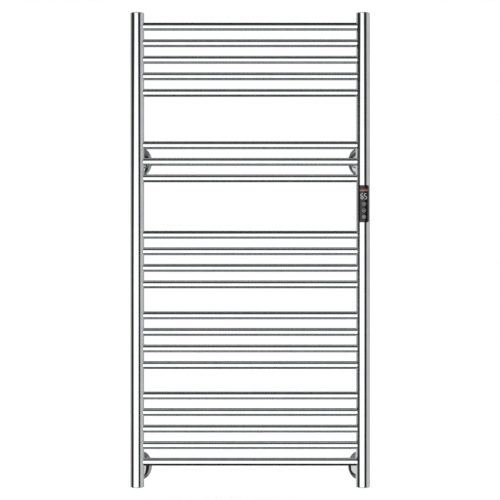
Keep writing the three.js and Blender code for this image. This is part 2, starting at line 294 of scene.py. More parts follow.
def inside(spots, ring):
    """Which of the spots are within the ring, by counting the edges that a ray from each crosses."""
    x, z = spots[:, 0], spots[:, 1]
    crossed = np.zeros(len(spots), bool)
    for (x1, z1), (x2, z2) in zip(ring, np.roll(ring, -1, axis=0)):
        if z1 != z2:
            crossed ^= ((z1 > z) != (z2 > z)) & (x < x1 + (z - z1) * (x2 - x1) / (z2 - z1))
    return crossed


def within(spots, rings):
    """Which of the spots are inside the first ring and outside the others."""
    kept = inside(spots, rings[0])
    for hole in rings[1:]:
        kept &= ~inside(spots, hole)
    return kept


def grid_spots(rings, step):
    """The crossings of a square grid that lie within the first ring, clear of every ring's edge."""
    if not step:
        return []
    low, high = rings[0].min(0), rings[0].max(0)
    columns, rows = np.ceil((high - low) / step).astype(int)
    xs = np.linspace(low[0], high[0], columns + 1)[1:-1]
    zs = np.linspace(low[1], high[1], rows + 1)[1:-1]
    spots = np.array([(x, z) for x in xs for z in zs])
    kept = within(spots, rings)
    for spot in np.vstack(rings):
        kept &= np.hypot(*(spots - spot).T) > step * GRID_CLEARANCE
    return [tuple(spot) for spot in spots[kept]]


def turn(count):
    return [2 * math.pi * i / count for i in range(count)]


def upright(radius, z, centre, sides=POST_SIDES):
    """A level ring round an upright axis."""
    return [(centre.x + radius * math.cos(a), centre.y + radius * math.sin(a), z) for a in turn(sides)]


def facing(radius, y, centre):
    """A ring round an axis that runs from front to back."""
    return [(centre.x + radius * math.cos(a), y, centre.z + radius * math.sin(a)) for a in turn(ROUND_SIDES)]


def quarter(reach):
    """How far in and how far back a rounded edge is, from the face round to the side."""
    if not reach:
        return [(0, 0)]
    angles = [math.pi / 2 * i / ARC_STEPS for i in range(ARC_STEPS + 1)]
    return [(reach * (1 - math.sin(a)), reach * (1 - math.cos(a))) for a in angles]


# ---- Outlines seen from the front -------------------------------------------------------------


def rounded_box(width, height, corner, centre):
    """Gives the outline moved outwards by grow, as (x, z) points with the straight sides divided."""
    half_x = width / 2 - corner
    half_z = height / 2 - corner
    corners = [(1, 1), (-1, 1), (-1, -1), (1, -1)]

    def outline(grow=0.0):
        arcs = []
        for quadrant, (sx, sz) in enumerate(corners):
            angles = [math.pi / 2 * (quadrant + i / ARC_STEPS) for i in range(ARC_STEPS + 1)]
            arcs.append([
                (centre.x + sx * half_x + (corner + grow) * math.cos(a),
                 centre.z + sz * half_z + (corner + grow) * math.sin(a))
                for a in angles
            ])
        points = []
        for quadrant, arc in enumerate(arcs):
            points += arc
            ahead = arcs[(quadrant + 1) % 4][0]
            length = 2 * (half_x if quadrant % 2 == 0 else half_z)
            parts = max(1, round(length / FACE_GRID))
            points += [between(arc[-1], ahead, i / parts) for i in range(1, parts)]
        return points

    return outline


def round_hole(radius, centre, sides=ROUND_SIDES):
    def outline(grow=0.0):
        return [
            (centre.x + (radius + grow) * math.cos(a), centre.z + (radius + grow) * math.sin(a))
            for a in turn(sides)
        ]

    return outline


def between(one, other, share):
    return tuple(a + (b - a) * share for a, b in zip(one, other))


def raised(spots, depth):
    """Puts (x, z) points at depth(x, z)."""
    return [(x, depth(x, z), z) for x, z in spots]


def face_at(set_back):
    """The depth of the controller's curved face, or of a surface set back from it."""
    radius = FACE_RADIUS - set_back

    def depth(x, _):
        return FACE_AXIS_Y - math.sqrt(radius ** 2 - (x - CONTROL.x) ** 2)

    return depth


def level_at(y):
    return lambda x, z: y


def rounded_wall(body, outline, face, back, edge, way):
    """A wall from a face, round its edge and back, with way -1 for an outline and 1 for a hole."""
    rings = []
    for inward, rearward in quarter(edge):
        spots = outline(way * inward)
        rings.append([(x, face(x, z) + rearward, z) for x, z in spots])
    rings.append(raised(outline(), back))
    made = body.tube(rings)
    return made[0], made[-1]


def plate(body, outline, holes, face, back, edge, grid=0.0):
    """A closed plate with a rounded front edge."""
    rims = [rounded_wall(body, outline, face, back, edge, -1)]
    rims += [rounded_wall(body, hole, face, back, edge, 1) for hole in holes]
    body.fill(rims[0][0], [rim[0] for rim in rims[1:]], face, grid)
    body.fill(rims[0][1], [rim[1] for rim in rims[1:]], back, grid)


# ---- Materials --------------------------------------------------------------------------------


def shade(colour, share):
    return tuple(channel * share for channel in colour)


class Finish:
    """A Principled material with short calls for the textures that drive it."""

    def __init__(self, name, colour, roughness, metallic=0.0):
        self.material = bpy.data.materials.new(name)
        self.material.use_nodes = True
        self.tree = self.material.node_tree
        self.shader = self.tree.nodes["Principled BSDF"]
        self.shader.inputs["Base Color"].default_value = (*colour, 1)
        self.shader.inputs["Roughness"].default_value = roughness
        self.shader.inputs["Metallic"].default_value = metallic
        self.shader.inputs["IOR"].default_value = PLASTIC_IOR
        self.place = self.tree.nodes.new("ShaderNodeTexCoord").outputs["Object"]

    def link(self, output, target):
        self.tree.links.new(output, target)

    def stretched(self, stretch):
        mapping = self.tree.nodes.new("ShaderNodeMapping")
        mapping.inputs["Scale"].default_value = stretch
        self.link(self.place, mapping.inputs["Vector"])
        return mapping.outputs["Vector"]

    def noise(self, scale, detail, stretch=(1, 1, 1)):
        texture = self.tree.nodes.new("ShaderNodeTexNoise")
        texture.inputs["Scale"].default_value = scale
        texture.inputs["Detail"].default_value = detail
        self.link(self.stretched(stretch), texture.inputs["Vector"])
        return texture.outputs["Fac"]

    def cells(self, scale, feature="F1", stretch=(1, 1, 1)):
        texture = self.tree.nodes.new("ShaderNodeTexVoronoi")
        texture.feature = feature
        texture.inputs["Scale"].default_value = scale
        self.link(self.stretched(stretch), texture.inputs["Vector"])
        return texture.outputs["Distance"]

    def roughness(self, value, low, high):
        """Spreads the middle range of a noise over the roughness from low to high."""
        remap = self.tree.nodes.new("ShaderNodeMapRange")
        remap.inputs["From Min"].default_value = NOISE_LOW
        remap.inputs["From Max"].default_value = NOISE_HIGH
        remap.inputs["To Min"].default_value = low
        remap.inputs["To Max"].default_value = high
        self.link(value, remap.inputs["Value"])
        self.link(remap.outputs["Result"], self.shader.inputs["Roughness"])

    def colours(self, value, one, other, start=0.35, end=0.65):
        ramp = self.tree.nodes.new("ShaderNodeValToRGB")
        ramp.color_ramp.elements[0].position = start
        ramp.color_ramp.elements[0].color = (*one, 1)
        ramp.color_ramp.elements[1].position = end
        ramp.color_ramp.elements[1].color = (*other, 1)
        self.link(value, ramp.inputs["Fac"])
        self.link(ramp.outputs["Color"], self.shader.inputs["Base Color"])

    def bumps(self, *layers):
        """Each layer is (height, distance in metres, strength), the later ones over the earlier."""
        normal = None
        for height, distance, strength in layers:
            bump = self.tree.nodes.new("ShaderNodeBump")
            bump.inputs["Distance"].default_value = distance
            bump.inputs["Strength"].default_value = strength
            self.link(height, bump.inputs["Height"])
            if normal is not None:
                self.link(normal, bump.inputs["Normal"])
            normal = bump.outputs["Normal"]
        self.link(normal, self.shader.inputs["Normal"])


def chrome(name, along, low=0.02, high=0.055, tone=1.0):
    """Bright plating over a polished tube: faint waves, and hair-fine polishing lines along it."""
    # A tone below 1 darkens the whole plating: painted shade.
    finish = Finish(name, shade((0.83, 0.84, 0.85), tone), low, metallic=1.0)
    lines = tuple(LINE_STRETCH if axis == along else 1 for axis in range(3))
    film = finish.noise(scale=38, detail=3)
    finish.colours(film, shade((0.80, 0.81, 0.825), tone), shade((0.85, 0.858, 0.865), tone))
    finish.roughness(finish.noise(scale=900, detail=3, stretch=lines), low, high)
    finish.bumps(
        (finish.noise(scale=9, detail=1), 0.0012, 0.004),
        (finish.noise(scale=1500, detail=2, stretch=lines), 0.00001, 0.03),
    )
    return finish.material


def plated_steel(name):
    """Zinc-plated sheet steel: soft grey spangle and pressing marks."""
    finish = Finish(name, (0.55, 0.56, 0.57), 0.35, metallic=1.0)
    spangle = finish.cells(scale=260)
    finish.colours(spangle, (0.46, 0.47, 0.49), (0.60, 0.61, 0.62), start=0.1, end=0.8)
    finish.roughness(finish.noise(scale=420, detail=4), 0.26, 0.42)
    finish.bumps((finish.noise(scale=700, detail=4), 0.00004, 0.25))
    return finish.material


def moulded(name, colour):
    """Black plastic with the fine spark-eroded grain of its mould."""
    finish = Finish(name, colour, 0.45)
    finish.colours(finish.noise(scale=90, detail=3), colour, shade(colour, 1.35))
    finish.roughness(finish.noise(scale=700, detail=3), 0.38, 0.52)
    finish.bumps(
        (finish.cells(scale=MOULD_GRAIN), 0.00004, 0.3),
        (finish.noise(scale=MOULD_GRAIN / 2, detail=4), 0.00003, 0.3),
    )
    return finish.material


def gloss(name, colour, low=0.05, high=0.1):
    """Polished black plastic: a mirror-like skin with faint flow waves and hairline wear."""
    finish = Finish(name, colour, low)
    finish.colours(finish.noise(scale=60, detail=2), colour, shade(colour, 1.25))
    finish.roughness(finish.noise(scale=500, detail=4), low, high)
    finish.bumps(
        (finish.noise(scale=45, detail=1), 0.0002, 0.05),
        (finish.noise(scale=2400, detail=3), 0.000006, 0.1),
    )
    return finish.material


def rubber(name):
    finish = Finish(name, (0.018, 0.018, 0.018), 0.8)
    finish.colours(finish.noise(scale=300, detail=3), (0.014, 0.014, 0.014), (0.026, 0.026, 0.026))
    finish.roughness(finish.noise(scale=900, detail=3), 0.7, 0.88)
    finish.bumps((finish.noise(scale=1800, detail=4), 0.00005, 0.4))
    return finish.material


def printed(name, colour):
    """Pale ink, slightly uneven."""
    finish = Finish(name, colour, 0.5)
    finish.colours(finish.noise(scale=1400, detail=3), shade(colour, 0.82), colour)
    finish.roughness(finish.noise(scale=800, detail=2), 0.42, 0.6)
    finish.bumps((finish.noise(scale=5000, detail=2), 0.00001, 0.2))
    return finish.material


def lit(name, colour, strength):
    """A light seen through smoked plastic, with a slightly uneven diffuser."""
    finish = Finish(name, shade(colour, 0.1), 0.3)
    finish.colours(finish.noise(scale=900, detail=2), shade(colour, 0.08), shade(colour, 0.14))
    finish.roughness(finish.noise(scale=800, detail=2), 0.25, 0.4)
    finish.shader.inputs["Emission Color"].default_value = (*colour, 1)
    finish.shader.inputs["Emission Strength"].default_value = strength
    return finish.material


def board_green(name):
    """Solder mask with copper tracks showing through it."""
    finish = Finish(name, (0.02, 0.12, 0.05), 0.35)
    tracks = finish.cells(scale=420, feature="DISTANCE_TO_EDGE", stretch=(1, 1, 0.4))
    finish.colours(tracks, (0.05, 0.22, 0.09), (0.015, 0.10, 0.04), start=0.04, end=0.09)
    finish.roughness(finish.noise(scale=600, detail=3), 0.25, 0.42)
    finish.bumps((tracks, 0.00003, 0.3))
    return finish.material


def silicone(name):
    """The heating cable's brick-red sheath over its braid."""
    finish = Finish(name, (0.30, 0.05, 0.03), 0.55)
    finish.colours(finish.noise(scale=350, detail=3), (0.26, 0.04, 0.025), (0.36, 0.065, 0.04))
    finish.roughness(finish.noise(scale=700, detail=3), 0.45, 0.65)
    finish.bumps((finish.cells(scale=900), 0.00008, 0.3))
    return finish.material


CHROME_POST = chrome("chrome_upright", 2)
CHROME_BAR = chrome("chrome_level", 0)
CHROME_STEM = chrome("chrome_stem", 1)
CHROME_CAP = chrome("chrome_cap", 0, 0.16, 0.24)
# The wall covers get the chrome darkened to 0.62 of its brightness: painted shade for covers that sit behind
# the posts, by the wall.
SHADED_CHROME_COVER = chrome("chrome_cover_painted_shade", 1, 0.04, 0.08, 0.62)
STEEL = plated_steel("zinc_plated_steel")
HOUSING = moulded("moulded_black", (0.012, 0.012, 0.0125))
FASCIA = gloss("gloss_black", (0.007, 0.007, 0.0075))
KEY = gloss("key_black", (0.009, 0.009, 0.0095), 0.08, 0.16)
WINDOW = gloss("smoked_window", (0.009, 0.0065, 0.006), 0.03, 0.06)
RUBBER = rubber("black_rubber")
INK = printed("pale_ink", (0.42, 0.42, 0.42))
DIGITS = lit("display_light", (0.78, 0.80, 0.82), 0.55)
RED_LIGHT = lit("red_light", (0.62, 0.27, 0.22), 0.4)
DIM_LIGHT = lit("dim_red_light", (0.50, 0.12, 0.08), 0.1)
BOARD = board_green("circuit_board")
CABLE = silicone("cable_sheath")


# ---- Uprights, caps and bars ------------------------------------------------------------------


def make_post(node):
    """A tube with lightly broken edges at both ends, where the caps seat."""
    low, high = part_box(node)
    centre = middle(node)
    inner = POST_RADIUS - POST_WALL
    profile = [
        (inner, low.z + SEAM_EDGE), (inner + SEAM_EDGE, low.z), (POST_RADIUS - SEAM_EDGE, low.z),
        (POST_RADIUS, low.z + SEAM_EDGE), (POST_RADIUS, high.z - SEAM_EDGE),
        (POST_RADIUS - SEAM_EDGE, high.z), (inner + SEAM_EDGE, high.z), (inner, high.z - SEAM_EDGE),
    ]
    body = Body()
    body.tube([upright(radius, z, centre) for radius, z in profile], closed=True)
    body.piece(f"{node}_tube", CHROME_POST, "rack", [node])


def make_cap(node, bore=0.0):
    """A plug whose crown has a broad rounded edge. A bored cap takes the supply grommet."""
    low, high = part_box(node)
    top = node.startswith("cap_top")
    centre = middle(node)
    crown, way = (high.z, -1) if top else (low.z, 1)
    tail = low.z if top else high.z
    seat = crown + way * (size(node).z - spigot_length(node))
    spigot = POST_RADIUS - POST_WALL - BORE_PLAY
    profile = [(spigot, tail), (spigot, seat), (POST_RADIUS - SEAM_EDGE, seat)]
    for inward, rearward in reversed(quarter(CAP_EDGE)):
        profile.append((POST_RADIUS - inward, crown + way * (CAP_CROWN + rearward)))
    face = POST_RADIUS - CAP_EDGE
    inner = [face * share for share in CAP_CROWN_RINGS if face * share > bore]
    for radius in inner + ([bore] if bore else []):
        profile.append((radius, crown + way * CAP_CROWN * (radius / face) ** 2))
    body = Body()
    if bore:
        profile.append((bore, tail))
        body.tube([upright(radius, z, centre) for radius, z in profile], closed=True)
    else:
        made = body.tube([upright(radius, z, centre) for radius, z in profile])
        body.fan(made[-1], (centre.x, centre.y, crown))
        body.fan(made[0], (centre.x, centre.y, tail))
    body.piece(f"{node}_plug", CHROME_CAP, "rack", [node])


def spigot_length(node):
    """How much of the cap is inside its tube, which ends where the post's box does."""
    post = "post_" + node.rsplit("_", 1)[1]
    cap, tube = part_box(node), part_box(post)
    return tube[1].z - cap[0].z if node.startswith("cap_top") else cap[1].z - tube[0].z


def weld_profile():
    """(distance from the post, extra radius) pairs of the small hollow weld round a tube's end."""
    return [(-WELD_DEPTH, WELD_REACH)] + [(along, swell) for swell, along in quarter(WELD_REACH)]


def post_surface(offset):
    """How far the post's surface is from its axis, at a point this far to one side."""
    return math.sqrt(POST_RADIUS ** 2 - offset ** 2)


def bar_ring(radius, side, reach, z):
    """A ring of a bar that follows the post's surface at this distance from it."""
    points = []
    for a in turn(BAR_SIDES):
        y = radius * math.cos(a)
        x = POST_X[side] - side * (post_surface(y) + reach)
        points.append((x, POST_Y + y, z + radius * math.sin(a)))
    return points


def make_bar(node):
    z = middle(node).z
    weld = weld_profile()
    inner = BAR_RADIUS - BAR_WALL
    rings = [bar_ring(BAR_RADIUS + swell, -1, reach, z) for reach, swell in weld]
    rings += [bar_ring(BAR_RADIUS + swell, 1, reach, z) for reach, swell in reversed(weld)]
    rings += [bar_ring(inner, 1, -WELD_DEPTH, z), bar_ring(inner, -1, -WELD_DEPTH, z)]
    body = Body()
    body.tube(rings, closed=True)
    body.piece(f"{node}_tube", CHROME_BAR, "rack", [node])


# ---- Wall brackets ----------------------------------------------------------------------------


def make_stem(label):
    """A rod from the wall socket to the back of the post, with a weld where they meet."""
    node = f"stem_{label}"
    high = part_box(node)[1]
    centre = middle(node)
    body = Body()
    rings = []
    for reach, swell in weld_profile():
        radius = STEM_RADIUS + swell
        ring = []
        for a in turn(ROUND_SIDES):
            x = radius * math.cos(a)
            ring.append((centre.x + x, POST_Y + post_surface(x) + reach, centre.z + radius * math.sin(a)))
        rings.append(ring)
    for inward, rearward in reversed(quarter(STEM_EDGE)):
        rings.append(facing(STEM_RADIUS - inward, high.y - rearward, centre))
    made = body.tube(rings)
    body.fan(made[0], (centre.x, POST_Y + POST_RADIUS - WELD_DEPTH, centre.z))
    body.fan(made[-1], (centre.x, high.y, centre.z))
    body.piece(f"{node}_rod", CHROME_STEM, "rack", [node])


def oval_radius(half_width, half_height, angle):
    return 1 / math.hypot(math.cos(angle) / half_width, math.sin(angle) / half_height)


def dome_rings(centre, half_width, half_height, depth, bore):
    """Rings of an oval dome from its rim up to a round bore."""
    rings = []
    for step in range(ROSETTE_STEPS + 1):
        ring = []
        for a in turn(POST_SIDES):
            rim = oval_radius(half_width, half_height, a)
            lift = math.acos(bore / rim) * step / ROSETTE_STEPS
            radius = rim * math.cos(lift)
            y = -ROSETTE_SKIRT - (depth - ROSETTE_SKIRT) * math.sin(lift)
            ring.append((centre.x + radius * math.cos(a), y, centre.z + radius * math.sin(a)))
        rings.append(ring)
    return rings


def make_rosette(label):
    """A pressed oval cover that slides along the stem, with its rim against the wall."""
    node = f"rosette_{label}"
    centre = middle(node)
    half = size(node) / 2
    depth = -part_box(node)[0].y
    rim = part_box(node)[1].y
    bore = STEM_RADIUS + BORE_PLAY
    # The dome's own top would be on its axis, inside the bore, so it is drawn a little deeper.
    outer = dome_rings(centre, half.x, half.z, depth + DOME_EXTRA, bore)
    inner = dome_rings(centre, half.x - ROSETTE_WALL, half.z - ROSETTE_WALL, depth - ROSETTE_WALL, bore)
    rim_out = [(x, rim - SEAM_EDGE, z) for x, _, z in outer[0]]
    rim_in = [(x, rim, z) for x, _, z in inner[0]]
    body = Body()
    body.tube([rim_out, *outer, *reversed(inner), rim_in], closed=True)
    # The cover takes the darkened chrome, painted shade for its place behind the post.
    body.piece(f"{node}_cover", SHADED_CHROME_COVER, f"{label}_cover", [node])


def make_wall_plate(label):
    """An oval plate with two countersunk screw holes and a socket for the stem."""
    node = f"wall_plate_{label}"
    low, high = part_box(node)
    centre = middle(node)
    half = size(node) / 2
    socket = STEM_RADIUS + BORE_PLAY
    front = -PLATE_THICKNESS

    def oval(grow=0.0):
        return [
            (centre.x + (half.x + grow) * math.cos(a), centre.z + (half.z + grow) * math.sin(a))
            for a in turn(POST_SIDES)
        ]

    holes = [
        round_hole(SCREW_HOLE_RADIUS, centre + Vector((0, 0, end * SCREW_HOLE_SPACING / 2)), HOLE_SIDES)
        for end in (-1, 1)
    ]
    body = Body()
    rim = rounded_wall(body, oval, level_at(front), level_at(high.y), PLATE_EDGE, -1)
    rims = [rounded_wall(body, hole, level_at(front), level_at(high.y), COUNTERSINK, 1) for hole in holes]
    collar = [
        (COLLAR_RADIUS + PLATE_EDGE, front), (COLLAR_RADIUS, front - PLATE_EDGE),
        (COLLAR_RADIUS, low.y + PLATE_EDGE), (COLLAR_RADIUS - PLATE_EDGE, low.y),
        (socket + PLATE_EDGE, low.y), (socket, low.y + PLATE_EDGE), (socket, front),
    ]
    made = body.tube([facing(radius, y, centre) for radius, y in collar])
    body.fan(made[-1], (centre.x, front, centre.z))
    body.fill(rim[0], [made[0], *[r[0] for r in rims]], level_at(front))
    body.fill(rim[1], [r[1] for r in rims], level_at(high.y))
    body.piece(f"{node}_socket", STEEL, "rack", [node])


def make_grub_screw(label):
    """A set screw, with a six-sided socket in its lower end."""
    node = f"grub_screw_{label}"
    low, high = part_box(node)
    centre = middle(node)
    radius = size(node).x / 2
    deep = centre.z

    profile = [
        (radius - GRUB_EDGE, low.z), (radius, low.z + GRUB_EDGE),
        (radius, high.z - GRUB_EDGE), (radius - GRUB_EDGE, high.z),
    ]

    def hexagon(z):
        return [
            (centre.x + GRUB_SOCKET * hexagon_share(a) * math.cos(a),
             centre.y + GRUB_SOCKET * hexagon_share(a) * math.sin(a), z)
            for a in turn(GRUB_SIDES)
        ]

    body = Body()
    made = body.tube([
        hexagon(deep), hexagon(low.z), *[upright(reach, z, centre, GRUB_SIDES) for reach, z in profile],
    ])
    body.fan(made[0], (centre.x, centre.y, deep))
    body.fan(made[-1], (centre.x, centre.y, high.z))
    body.piece(f"{node}_set", STEEL, "rack", [node])


def hexagon_share(angle):
    """How far a hexagon's side is from its middle at this angle, where its flats are at 1."""
    return 1 / math.cos((angle % (math.pi / 3)) - math.pi / 6)


# ---- Controller -------------------------------------------------------------------------------


def make_housing():
    """The box behind the fascia. Its back is hollowed to sit on the front of the post."""
    node = "control_housing"
    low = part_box(node)[0]
    width = size("control_fascia").x
    length = size("control_fascia").z
    floor = low.y + HOUSING_FLOOR

    def post_back(x, _):
        return POST_Y - math.sqrt((POST_RADIUS + BORE_PLAY) ** 2 - (x - CONTROL.x) ** 2)

    outline = rounded_box(width, length, BOX_CORNER, CONTROL)
    cavity = rounded_box(
        width - 2 * HOUSING_WALL, length - 2 * HOUSING_WALL, BOX_CORNER - HOUSING_WALL, CONTROL)
    holes = [
        round_hole(HOUSING_SCREW_RADIUS, middle(f"housing_screw_{level}"), HOLE_SIDES) for level in LEVELS]
    holes.append(round_hole(WIRE_HOLE_RADIUS, CONTROL, HOLE_SIDES))
    body = Body()
    rim, back = rounded_wall(body, outline, level_at(low.y), post_back, HOUSING_EDGE, -1)
    lip, base = body.tube([raised(cavity(), level_at(low.y)), raised(cavity(), level_at(floor))])
    ends = [body.tube([raised(hole(), level_at(floor)), raised(hole(), post_back)]) for hole in holes]
    body.fill(rim, [lip], level_at(low.y))
    body.fill(base, [end[0] for end in ends], level_at(floor))
    body.fill(back, [end[1] for end in ends], post_back, FACE_GRID)
    body.piece("controller_housing", HOUSING, "rack", [node])


def make_seal():
    low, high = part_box("control_seal")
    width, length = size("control_seal").x, size("control_seal").z
    outline = rounded_box(width, length, BOX_CORNER, CONTROL)
    inner = rounded_box(
        width - 2 * SEAL_WIDTH, length - 2 * SEAL_WIDTH, BOX_CORNER - SEAL_WIDTH, CONTROL)
    body = Body()
    plate(body, outline, [inner], level_at(low.y), level_at(high.y), SEAM_EDGE)
    body.piece("controller_seal", RUBBER, "rack", ["control_seal"])


def key_place(node):
    place = middle(node)
    return Vector((place.x, 0, place.z))


def key_radius():
    return size("key_up").x / 2 - KEY_FLANGE_REACH


def make_fascia():
    """The curved black front: a shell with a deep rim, a window opening and three key holes."""
    node = "control_fascia"
    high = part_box(node)[1]
    width, length = size(node).x, size(node).z
    face, ceiling = face_at(0), face_at(FACE_THICKNESS)
    back = level_at(high.y)
    outline = rounded_box(width, length, BOX_CORNER, CONTROL)
    pocket = rounded_box(
        width - 2 * FASCIA_RIM, length - 2 * FASCIA_RIM, BOX_CORNER - FASCIA_RIM, CONTROL)
    window = size("display_window")
    openings = [rounded_box(
        window.x + 2 * BORE_PLAY, window.z + 2 * BORE_PLAY, WINDOW_CORNER, middle("display_window"))]
    openings += [round_hole(key_radius() + BORE_PLAY, key_place(key)) for key in KEYS]
    body = Body()
    rim, rear = rounded_wall(body, outline, face, back, FASCIA_EDGE, -1)
    holes = [rounded_wall(body, opening, face, ceiling, SEAM_EDGE, 1) for opening in openings]
    mouth, roof = body.tube([raised(pocket(), back), raised(pocket(), ceiling)])
    body.fill(rim, [hole[0] for hole in holes], face, FACE_GRID)
    body.fill(roof, [hole[1] for hole in holes], ceiling, FACE_GRID)
    body.fill(rear, [mouth], back)
    body.piece("controller_fascia", FASCIA, "rack", [node])


def make_window():
    node = "display_window"
    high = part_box(node)[1]
    outline = rounded_box(size(node).x, size(node).z, WINDOW_CORNER - BORE_PLAY, middle(node))
    body = Body()
    plate(body, outline, [], face_at(WINDOW_SET_BACK), level_at(high.y), SEAM_EDGE, FACE_GRID)
    body.piece("controller_window", WINDOW, "rack", [node])


def make_key(node, body_name):
    """A round key whose top follows the face's curve, held in by a flange."""
    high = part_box(node)[1]
    place = key_place(node)
    radius = key_radius()
    face = face_at(-KEY_PROUD)
    flange_front = level_at(high.y - KEY_FLANGE)
    body = Body()
    outline = round_hole(radius, place)
    wide = round_hole(size(node).x / 2, place)
    top, foot = rounded_wall(body, outline, face, flange_front, KEY_EDGE, -1)
    made = [foot, body.ring(raised(wide(), flange_front)), body.ring(raised(wide(), level_at(high.y)))]
    body.bridge(made[0], made[1])
    body.bridge(made[1], made[2])
    body.fill(top, [], face, FACE_GRID)
    body.fill(made[2], [], level_at(high.y))
    body.piece(f"{node}_cap", KEY, body_name, [node])


# ---- Marks on the keys and the display ---------------------------------------------------------


def stroke(points, width):
    """The outline of a pen stroke with round ends along the points."""
    half = width / 2
    headings = []
    for i in range(len(points)):
        before, after = points[max(i - 1, 0)], points[min(i + 1, len(points) - 1)]
        headings.append(math.atan2(after[1] - before[1], after[0] - before[0]))
    left = [(x - half * math.sin(a), z + half * math.cos(a)) for (x, z), a in zip(points, headings)]
    right = [(x + half * math.sin(a), z - half * math.cos(a)) for (x, z), a in zip(points, headings)]
    return right + end_arc(points[-1], headings[-1], half) + left[::-1] + end_arc(
        points[0], headings[0] + math.pi, half)


def end_arc(spot, heading, half):
    angles = [heading - math.pi / 2 + math.pi * i / ARC_STEPS for i in range(1, ARC_STEPS)]
    return [(spot[0] + half * math.cos(a), spot[1] + half * math.sin(a)) for a in angles]


def fixed(ring):
    """An outline that does not grow."""
    return lambda grow=0.0: ring


def print_shape(body, ring, holes, face):
    """A thin raised layer of ink or light on a curved face."""
    def sunk(x, z):
        return face(x, z) + PRINT_DEPTH

    def proud(x, z):
        return face(x, z) - PRINT_DEPTH

    plate(body, fixed(ring), [fixed(hole) for hole in holes], proud, sunk, 0.0)


def chevron(centre, way):
    """An arrowhead that points up with way 1 and down with way -1."""
    arms = []
    for side in (-1, 1):
        tip = (centre.x, centre.z + way * CHEVRON_RISE)
        foot = (centre.x + side * CHEVRON_REACH, centre.z - way * CHEVRON_RISE)
        arms.append([tip, between(tip, foot, 0.5), foot])
    left, right = arms
    return left[::-1] + right[1:]


def power_strokes(centre):
    """An open ring with a bar through its gap."""
    start, end = POWER_GAP
    angles = [math.radians(start + (end - start) * i / POWER_STEPS) for i in range(POWER_STEPS + 1)]
    ring = [(centre.x + POWER_RADIUS * math.cos(a), centre.z + POWER_RADIUS * math.sin(a)) for a in angles]
    bar = [(centre.x, centre.z + rise) for rise in POWER_BAR]
    return [ring, bar]


def mark_strokes(node, centre):
    if node == "key_power":
        return power_strokes(centre)
    return [chevron(centre, 1 if node == "key_up" else -1)]


def make_key_mark(node, body_name):
    """A ring round a chevron or a power sign, printed on the key."""
    centre = key_place(node)
    face = face_at(-KEY_PROUD)
    outer = round_hole(MARK_RING_RADIUS, centre)
    inner = round_hole(MARK_RING_RADIUS - MARK_RING_WIDTH, centre)
    body = Body()
    print_shape(body, outer(), [inner()], face)
    for points in mark_strokes(node, centre):
        print_shape(body, stroke(points, MARK_STROKE), [], face)
    body.piece(f"{node}_mark", INK, body_name)


# Where each segment's middle is, in half widths and half heights of the digit
SEGMENTS = {
    "a": (0, 1), "g": (0, 0), "d": (0, -1),
    "f": (-1, 0.5), "b": (1, 0.5), "e": (-1, -0.5), "c": (1, -0.5),
}
DIGIT_SEGMENTS = {"5": "afgcd", "6": "afgedc"}


def segment(centre, level):
    """A six-sided bar, level or upright, with pointed ends."""
    half = DIGIT_STROKE / 2
    length = DIGIT_WIDTH if level else DIGIT_HEIGHT / 2
    tip = (length - half) / 2
    shape = [
        (-tip, 0), (half - tip, half), (tip - half, half),
        (tip, 0), (tip - half, -half), (half - tip, -half),
    ]
    if not level:
        shape = [(z, x) for x, z in shape]
    return [(centre[0] + x, centre[1] + z) for x, z in shape]


def make_digits():
    """A two-figure temperature on a seven-segment display."""
    place = middle("display_window")
    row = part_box("display_window")[0].z + DIGIT_RISE
    body = Body()
    for number, side in (("6", -1), ("5", 1)):
        x = place.x + side * DIGIT_PITCH / 2
        for name in DIGIT_SEGMENTS[number]:
            sx, sz = SEGMENTS[name]
            centre = (x + sx * DIGIT_WIDTH / 2, row + sz * DIGIT_HEIGHT / 2)
            print_shape(body, segment(centre, sx == 0), [], face_at(WINDOW_SET_BACK))
    body.piece("display_digits", DIGITS, "rack")


def make_light_bar():
    """A generic heating light over the display: one bright bar and a dim one above it."""
    place = middle("display_window")
    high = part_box("display_window")[1].z
    width = size("display_window").x - 2 * LIGHT_BAR_MARGIN
    for name, material, drop, height in (
        ("heating_light", RED_LIGHT, LIGHT_BAR_DROP, LIGHT_BAR_HEIGHT),
        ("heating_light_dim", DIM_LIGHT, DIM_BAR_DROP, DIM_BAR_HEIGHT),
    ):
        outline = rounded_box(width, height, LIGHT_BAR_CORNER, Vector((place.x, 0, high - drop)))
        body = Body()
        print_shape(body, outline(), [], face_at(WINDOW_SET_BACK))
        body.piece(name, material, "rack")


def grommet_neck():
    return size("supply_grommet").x / 2 - GROMMET_FLANGE


def make_grommet():
    """The rubber bush that the supply would come through, under the right post."""
    node = "supply_grommet"
    low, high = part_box(node)
    centre = middle(node)
    neck, outer = grommet_neck(), size(node).x / 2
    bore, flange, edge = neck - GROMMET_WALL, GROMMET_FLANGE_THICKNESS, GROMMET_EDGE
    profile = [
        (bore, low.z + edge), (bore + edge, low.z), (neck - edge, low.z), (neck, low.z + edge),
        (neck, high.z - flange), (outer - edge, high.z - flange), (outer, high.z - flange + edge),
        (outer, high.z - edge), (outer - edge, high.z), (bore + edge, high.z), (bore, high.z - edge),
    ]
    body = Body()
    body.tube([upright(radius, z, centre, GROMMET_SIDES) for radius, z in profile], closed=True)
    body.piece("supply_grommet_bush", RUBBER, "rack", [node])


# ---- Pieces that the CAD already has right ------------------------------------------------------

KEPT_NODES = {
    "heating_cable": CABLE,
    "cable_end_seal": RUBBER,
    "temperature_sensor": STEEL,
    "circuit_board": BOARD,
    "display_module": HOUSING,
    "housing_screw_upper": STEEL,
    "housing_screw_lower": STEEL,
}


def finish_kept_nodes():
    for name, material in KEPT_NODES.items():
        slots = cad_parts[name].material_slots
        for slot in slots:
            slot.material = material


# ---- Studio -----------------------------------------------------------------------------------


